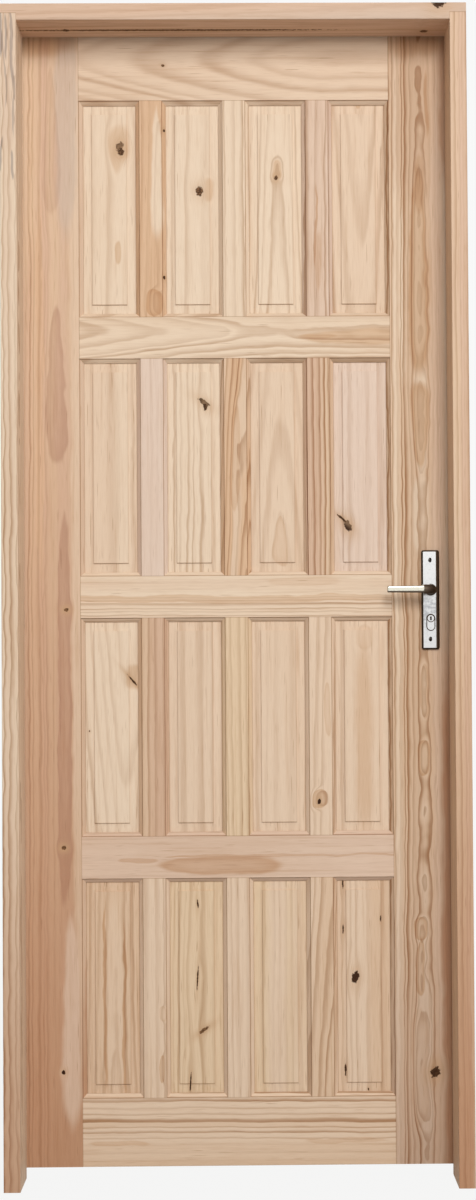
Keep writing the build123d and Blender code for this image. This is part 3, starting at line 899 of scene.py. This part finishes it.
class DOOR_OT_panel_pine(bpy.types.Operator):
    """Pine for the fielded panels, each cut from another board"""

    bl_idname = "pine_door.panel_pine"
    bl_label = "Panel pine"

    def execute(self, context):
        for spot, board in PANEL_BOARDS.items():
            node = "panel_row_{}_column_{}".format(*spot)
            board = replace(board, middle=middle_of(node, 0), bite=0.25, late=0.4, soft=0.18, sway=0.009)
            extras = (PANEL_KNOTS.get(spot, []), PANEL_PATCHES.get(spot, []))
            # Each panel gets painted shade under its moulding and a painted shadow along its field.
            pine_on(node, [board], True, *extras, painted_shade=Pine.soil_panel)
        return {"FINISHED"}


# Metal

# Radius of the gap round the plug
PLUG_RING = 0.0066
# How far below its axis the lever's bar gets a painted dark reflection, from wholly to not at all
DARK_REFLECTION_BELOW = (0.0036, 0.0022)
STEEL_NODES = (
    "hinge_plates_on_jamb", "hinge_plates_on_door", "hinge_pins", "mortise_lock",
    "latch_bolt", "dead_bolt", "strike_plate", "lever_spindle",
)


def make_chrome(name, base, dark_where, darkened, dusty=None, rougher=0.0):
    """Polished plating, with a mask for where it is darker and rougher and one for where it is dusty.
    The dark mask paints dark reflections and shade, and darkens the lever's elbow.
    """
    metal = bpy.context.scene.metal_settings
    material, wire = new_material(name)
    x, y, z = place_axes(wire)
    smear = vector(x, y, z).noise(140.0, 4.0, "3D")
    mask = dark_where(x, y, z)
    shade = (smear.rise(0.45, 0.75) * 0.35).tint(base, metal.smudge)
    if dusty is not None:
        shade = (dusty(x, y, z) * smear.rise(0.32, 0.60)).tint(shade, metal.smudge)
    shade = mask.mix(shade, darkened)
    rough = metal.chrome_roughness + rougher + smear * 0.06 + mask * 0.35
    end_with(wire, {"Base Color": shade, "Roughness": rough, "Metallic": 1.0})
    return material


def make_steel(name, base):
    """Plated steel with a fine brushed grain."""
    metal = bpy.context.scene.metal_settings
    material, wire = new_material(name)
    x, y, z = place_axes(wire)
    brushed = vector(x, y, z * 0.02).noise(2400.0, 2.0, "3D")
    cloud = vector(x, y, z).noise(60.0, 3.0, "3D")
    shade = cloud.rise(0.4, 0.75).tint(base, metal.cloud)
    rough = metal.steel_roughness + (brushed - 0.5) * 0.2
    end_with(wire, {"Base Color": shade, "Roughness": rough, "Metallic": 1.0}, brushed, 0.00002)
    return material


class DOOR_OT_handle_chrome(bpy.types.Operator):
    """Chrome for the backplates, the levers and the lock cylinder"""

    bl_idname = "pine_door.handle_chrome"
    bl_label = "Handle chrome"

    def execute(self, context):
        metal = context.scene.metal_settings
        low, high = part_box("front_backplate")
        barrel_low, barrel_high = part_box("lock_cylinder")
        barrel_width = barrel_high.x - barrel_low.x
        plug_z = barrel_high.z - barrel_width / 2
        axis_z = middle_of("lever_spindle", 2)
        root = low.x + 0.0005

        def rim(x, y, z):
            """Painted dark reflection along the rim of a backplate."""
            sides = (
                (x - low.x) / metal.rim_width,
                (high.x - x) / metal.wide_rim,
                (z - low.z) / metal.rim_width,
                (high.z - z) / metal.rim_width,
            )
            edge = sides[0]
            for side in sides[1:]:
                edge = edge.math("MINIMUM", side)
            return 1.0 - edge.rise(0.75, 1.1)

        def dust(x, y, z):
            """Dust between the plug and the lever."""
            return (z - plug_z).rise(-0.03, 0.0) * (1.0 - (z - axis_z).rise(-0.03, 0.0))

        # The backplates get a painted dark reflection along their rims.
        plate = make_chrome("backplate_chrome", metal.chrome, rim, metal.dark_reflection_and_shade, dust)
        wear("front_backplate", plate)
        wear("rear_backplate", plate)

        def elbow(x, y, z):
            """Darker, rougher elbow of a lever, and a painted dark reflection along the underside of its
            bar.
            """
            under = 1.0 - z.rise(axis_z - DARK_REFLECTION_BELOW[0], axis_z - DARK_REFLECTION_BELOW[1])
            return x.rise(root - 0.0006, root + 0.0006).math("MAXIMUM", under * 0.95)

        lever = make_chrome("lever_chrome", metal.ivory, elbow, metal.elbow, rougher=0.08)
        wear("front_lever", lever)
        wear("rear_lever", lever)

        def plug(x, y, z):
            """Painted shade in the gap round the plug, in the keyway and round the rim of the cylinder.
            """
            side = x - middle_of("lock_cylinder", 0)
            up = z - plug_z
            far = (side * side + up * up).math("SQRT")
            ring = 1.0 - abs(far - PLUG_RING).rise(0.0004, 0.0013)
            below = (plug_z - barrel_low.z - barrel_width / 2) / 2
            oval_up = abs(z - plug_z + below) - below
            oval_up = oval_up.math("MAXIMUM", 0.0)
            oval = (side * side + oval_up * oval_up).math("SQRT")
            rim_of_oval = (oval - barrel_width / 2).rise(-0.0019, -0.0010)
            key = (1.0 - abs(side).rise(0.0014, 0.0022)) * (1.0 - abs(up).rise(0.0028, 0.0038))
            return ring.math("MAXIMUM", rim_of_oval).math("MAXIMUM", key)

        # The cylinder gets painted shade in its gaps and keyway.
        wear("lock_cylinder", make_chrome("cylinder_chrome", metal.chrome, plug, metal.dark_reflection_and_shade))
        return {"FINISHED"}


class DOOR_OT_lock_steel(bpy.types.Operator):
    """Plated steel for the hinges, the lock, its bolts and the strike plate"""

    bl_idname = "pine_door.lock_steel"
    bl_label = "Lock and hinge steel"

    def execute(self, context):
        steel = make_steel("plated_steel", context.scene.metal_settings.steel)
        for node in STEEL_NODES:
            wear(node, steel)
        return {"FINISHED"}


# Screws

# How far the handle's screws stand from the top and the foot of a backplate
TOP_INSET = 0.0185
FOOT_INSET = 0.0192
# Half a hinge's height, its plates' thickness, and where the screws lie on a plate
HALF_HINGE = 0.0445
HINGE_PLATE = 0.002
HINGE_SCREWS = ((0.009, -0.033), (0.019, -0.011), (0.009, 0.011), (0.019, 0.033))
# How far the screws of the lock and the strike plate stand from its ends, and the leaf's middle
END_INSET = 0.010
LEAF_MIDDLE = 0.0525
# How far a countersunk head reaches below the surface, and where the floor of its slots is
SINK = 0.0006
FLAT_FLOOR = -0.0004
# Height of the block that cuts a slot
CUTTER = 0.01
# Turns that point a head along an axis of the door, with the slots on the handle askew
QUARTER = math.pi / 2
TOWARDS = {
    "-Y": (QUARTER, 0, 0.5),
    "+Y": (-QUARTER, 0, 0.3),
    "+X": (0, QUARTER, 0),
    "-X": (0, -QUARTER, 0),
}


def select_only(piece):
    """Leaves one object selected and active."""
    bpy.ops.object.select_all(action="DESELECT")
    piece.select_set(True)
    bpy.context.view_layer.objects.active = piece


def cut_slot(head, width, long_side, floor):
    """Cuts a straight slot into the top of a head that stands along Z."""
    bpy.ops.mesh.primitive_cube_add(size=1.0, location=(0.0, 0.0, floor + CUTTER / 2))
    cutter = bpy.context.active_object
    cutter.scale = (long_side, width, CUTTER)
    select_only(head)
    slot = head.modifiers.new("slot", "BOOLEAN")
    slot.operation = "DIFFERENCE"
    slot.object = cutter
    bpy.ops.object.modifier_apply(modifier=slot.name)
    bpy.data.objects.remove(cutter)


def oval_head(metal):
    """An oval screw head on the plane Z = 0, cut from a ball."""
    bpy.ops.object.select_all(action="DESELECT")
    radius, crown = metal.oval_radius, metal.oval_crown
    ball = (radius * radius + crown * crown) / (2 * crown)
    bpy.ops.mesh.primitive_uv_sphere_add(
        segments=32, ring_count=24, radius=ball, location=(0.0, 0.0, crown - ball)
    )
    head = bpy.context.active_object
    bpy.ops.object.transform_apply(location=True, rotation=True, scale=True)
    bpy.ops.object.mode_set(mode="EDIT")
    bpy.ops.mesh.select_all(action="SELECT")
    bpy.ops.mesh.bisect(
        plane_co=(0.0, 0.0, 0.0), plane_no=(0.0, 0.0, 1.0), use_fill=True, clear_inner=True
    )
    bpy.ops.object.mode_set(mode="OBJECT")
    cut_slot(head, metal.slot_width, 2.2 * radius, crown * 0.45)
    return head


def flat_head(metal):
    """A countersunk head that stands a hair above the plane Z = 0."""
    bpy.ops.object.select_all(action="DESELECT")
    radius, crown = metal.flat_radius, metal.flat_crown
    bpy.ops.mesh.primitive_cylinder_add(
        vertices=32, radius=radius, depth=2 * crown + SINK, location=(0.0, 0.0, -SINK / 2)
    )
    head = bpy.context.active_object
    bpy.ops.object.transform_apply(location=True, rotation=True, scale=True)
    bpy.ops.object.mode_set(mode="EDIT")
    bpy.ops.mesh.select_mode(type="EDGE")
    bpy.ops.mesh.select_all(action="DESELECT")
    bpy.ops.object.mode_set(mode="OBJECT")
    points = head.data.vertices
    for edge in head.data.edges:
        edge.select = all(points[i].co.z > crown * 0.99 for i in edge.vertices)
    bpy.ops.object.mode_set(mode="EDIT")
    bpy.ops.mesh.bevel(offset=crown * 0.8, segments=2)
    bpy.ops.object.mode_set(mode="OBJECT")
    cut_slot(head, metal.slot_width, 1.6 * radius, FLAT_FLOOR)
    cut_slot(head, 1.6 * radius, metal.slot_width, FLAT_FLOOR)
    return head


class DOOR_OT_screws(bpy.types.Operator):
    """Screws of the handle, the hinges, the lock and the strike plate"""

    bl_idname = "pine_door.screws"
    bl_label = "Screws"

    def execute(self, context):
        metal = context.scene.metal_settings
        oval = oval_head(metal)
        flat = flat_head(metal)
        darkened = make_steel("screw_steel", metal.screw)
        plated = make_steel("flat_screw_steel", metal.steel)

        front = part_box("front_backplate")
        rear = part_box("rear_backplate")
        middle_x = middle_of("front_backplate", 0)
        heights = (front[1].z - TOP_INSET, front[0].z + FOOT_INSET)
        spots = [(middle_x, front[0].y, z) for z in heights]
        self.drive("front_screws", oval, "-Y", spots, "leaf", darkened)
        spots = [(middle_x, rear[1].y, z) for z in heights]
        self.drive("rear_screws", oval, "+Y", spots, "leaf", darkened)

        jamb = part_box("hinge_plates_on_jamb")
        bottom, top = jamb[0].z + HALF_HINGE, jamb[1].z - HALF_HINGE
        places = [
            (jamb[0].y + across, centre + along)
            for centre in (bottom, (bottom + top) / 2, top)
            for across, along in HINGE_SCREWS
        ]
        face = jamb[0].x + HINGE_PLATE
        self.drive("jamb_hinge_screws", flat, "+X", [(face, *p) for p in places], "frame", plated)
        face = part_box("hinge_stile")[0].x - HINGE_PLATE
        self.drive("door_hinge_screws", flat, "-X", [(face, *p) for p in places], "leaf", plated)

        low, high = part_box("mortise_lock")
        spots = [(high.x, LEAF_MIDDLE, z) for z in (low.z + END_INSET, high.z - END_INSET)]
        self.drive("lock_screws", flat, "+X", spots, "leaf", plated)
        low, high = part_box("strike_plate")
        spots = [(low.x, LEAF_MIDDLE, z) for z in (low.z + END_INSET, high.z - END_INSET)]
        self.drive("strike_screws", flat, "-X", spots, "frame", plated)
        for pattern in (oval, flat):
            bpy.data.objects.remove(pattern)
        return {"FINISHED"}

    def drive(self, name, pattern, way, spots, body, material):
        """Sets copies of a head on their spots, as one piece."""
        copies = []
        for spot in spots:
            head = pattern.copy()
            head.data = pattern.data.copy()
            head.location = spot
            head.rotation_euler = TOWARDS[way]
            bpy.context.scene.collection.objects.link(head)
            copies.append(head)
        select_only(copies[0])
        for head in copies:
            head.select_set(True)
        bpy.ops.object.transform_apply(location=True, rotation=True, scale=True)
        bpy.ops.object.join()
        screws = bpy.context.active_object
        screws.name = name
        bpy.ops.object.shade_smooth_by_angle(angle=math.radians(35))
        screws.data.materials.clear()
        screws.data.materials.append(material)
        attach(screws, body)


# Stage

# Side of the square floor, and how far off its lift begins and ends to change
FLOOR_SIDE = 60.0
NEAR, FAR = 1.0, 3.2


def seen_straight(wire):
    """One for what the camera sees, in metal and through glass too, and nought for other light."""
    rays = ("Is Camera Ray", "Is Glossy Ray", "Is Transmission Ray")
    camera, glossy, through = [wire.node("ShaderNodeLightPath", output=ray) for ray in rays]
    return camera.math("MAXIMUM", glossy).math("MAXIMUM", through)


class DOOR_OT_stage(bpy.types.Operator):
    """Floor, light and the camera at the photograph's viewing angle"""

    bl_idname = "pine_door.stage"
    bl_label = "Stage"

    def execute(self, context):
        stage = context.scene.stage_settings
        bpy.ops.object.select_all(action="DESELECT")
        bpy.ops.mesh.primitive_plane_add(size=FLOOR_SIDE, location=(0.4, 0.0, 0.0))
        floor = context.active_object
        floor.name = "floor"
        floor.data.materials.append(self.floor_material(stage))
        self.add_world(context, stage)
        self.add_lamp(context, "key", stage.key_place, stage.key_power)
        self.add_lamp(context, "side", stage.side_place, stage.side_power)
        self.add_lamp(context, "back", stage.back_place, stage.back_power)
        self.add_camera(context, stage)
        context.scene.view_settings.view_transform = "Standard"
        return {"FINISHED"}

    def floor_material(self, stage):
        """A plain floor that the camera sees as pale as the backdrop."""
        material, wire = new_material("floor")
        x, y = place_axes(wire)[:2]
        far = (x * x + y * y).math("SQRT").rise(NEAR, FAR)
        lift = seen_straight(wire) * (far * (1.0 - stage.floor_glow) + stage.floor_glow)
        plain = {"Base Color": rgba(stage.floor), "Roughness": 0.9, "Specular IOR Level": 0.1}
        matt = wire.node("ShaderNodeBsdfPrincipled", inputs=plain)
        glow = wire.node("ShaderNodeEmission", inputs={"Color": rgba(stage.backdrop), "Strength": 1.0})
        both = wire.node("ShaderNodeMixShader", inputs={0: lift, 1: matt, 2: glow})
        wire.node("ShaderNodeOutputMaterial", inputs={"Surface": both})
        return material

    def add_world(self, context, stage):
        """Even light from all round, and the backdrop for the camera."""
        world = bpy.data.worlds.new("studio")
        context.scene.world = world
        world.use_nodes = True
        world.node_tree.nodes.clear()
        wire = Wire(world.node_tree)
        even = wire.node("ShaderNodeBackground", inputs={"Color": (1, 1, 1, 1), "Strength": stage.sky})
        white = {"Color": rgba(stage.backdrop), "Strength": 1.0}
        shown = wire.node("ShaderNodeBackground", inputs=white)
        both = wire.node("ShaderNodeMixShader", inputs={0: seen_straight(wire), 1: even, 2: shown})
        wire.node("ShaderNodeOutputWorld", inputs={"Surface": both})

    def add_lamp(self, context, name, spot, power):
        """A large soft light that points at the door."""
        stage = context.scene.stage_settings
        lamp = bpy.data.lights.new(name, "AREA")
        lamp.shape = "RECTANGLE"
        lamp.size = stage.key_width
        lamp.size_y = stage.key_height
        lamp.energy = power
        light = bpy.data.objects.new(name, lamp)
        light.location = spot
        aim = Vector(stage.key_aim) - Vector(spot)
        light.rotation_euler = aim.to_track_quat("-Z", "Y").to_euler()
        light.visible_camera = False
        context.scene.collection.objects.link(light)

    def add_camera(self, context, stage):
        """The camera that was fitted to the photograph."""
        forward = Vector(stage.camera_forward).normalized()
        up = Vector(stage.camera_right).cross(forward).normalized()
        right = forward.cross(up)
        lens = bpy.data.cameras.new("camera")
        lens.lens = stage.lens
        lens.sensor_width = 36.0
        lens.sensor_fit = "AUTO"
        lens.shift_x = stage.shift_x
        lens.shift_y = stage.shift_y
        camera = bpy.data.objects.new("camera", lens)
        turn = Matrix((right, up, -forward)).transposed().to_4x4()
        camera.matrix_world = Matrix.Translation(Vector(stage.camera_place)) @ turn
        context.scene.collection.objects.link(camera)
        context.scene.camera = camera


class DOOR_PT_sidebar(bpy.types.Panel):
    """Lists the steps that dress the door"""

    bl_idname = "DOOR_PT_sidebar"
    bl_label = "Pine door"
    bl_space_type = "VIEW_3D"
    bl_region_type = "UI"
    bl_category = "Pine door"

    def draw(self, context):
        for step in STEPS:
            self.layout.operator(step.bl_idname)


SETTINGS = {
    "pine_settings": PineSettings,
    "metal_settings": MetalSettings,
    "stage_settings": StageSettings,
}
STEPS = [
    DOOR_OT_frame_pine,
    DOOR_OT_stile_pine,
    DOOR_OT_rail_pine,
    DOOR_OT_muntin_pine,
    DOOR_OT_panel_pine,
    DOOR_OT_handle_chrome,
    DOOR_OT_lock_steel,
    DOOR_OT_screws,
    DOOR_OT_stage,
]


def register():
    """Registers the settings, the steps and the panel."""
    for name, group in SETTINGS.items():
        bpy.utils.register_class(group)
        setattr(bpy.types.Scene, name, bpy.props.PointerProperty(type=group))
    for step in STEPS:
        bpy.utils.register_class(step)
    bpy.utils.register_class(DOOR_PT_sidebar)


def unregister():
    """Takes away what register added."""
    bpy.utils.unregister_class(DOOR_PT_sidebar)
    for step in reversed(STEPS):
        bpy.utils.unregister_class(step)
    for name, group in SETTINGS.items():
        delattr(bpy.types.Scene, name)
        bpy.utils.unregister_class(group)


def main():
    """Runs every step."""
    register()
    for step in STEPS:
        family, name = step.bl_idname.split(".")
        getattr(getattr(bpy.ops, family), name)()


if __name__ == "__main__":
    main()
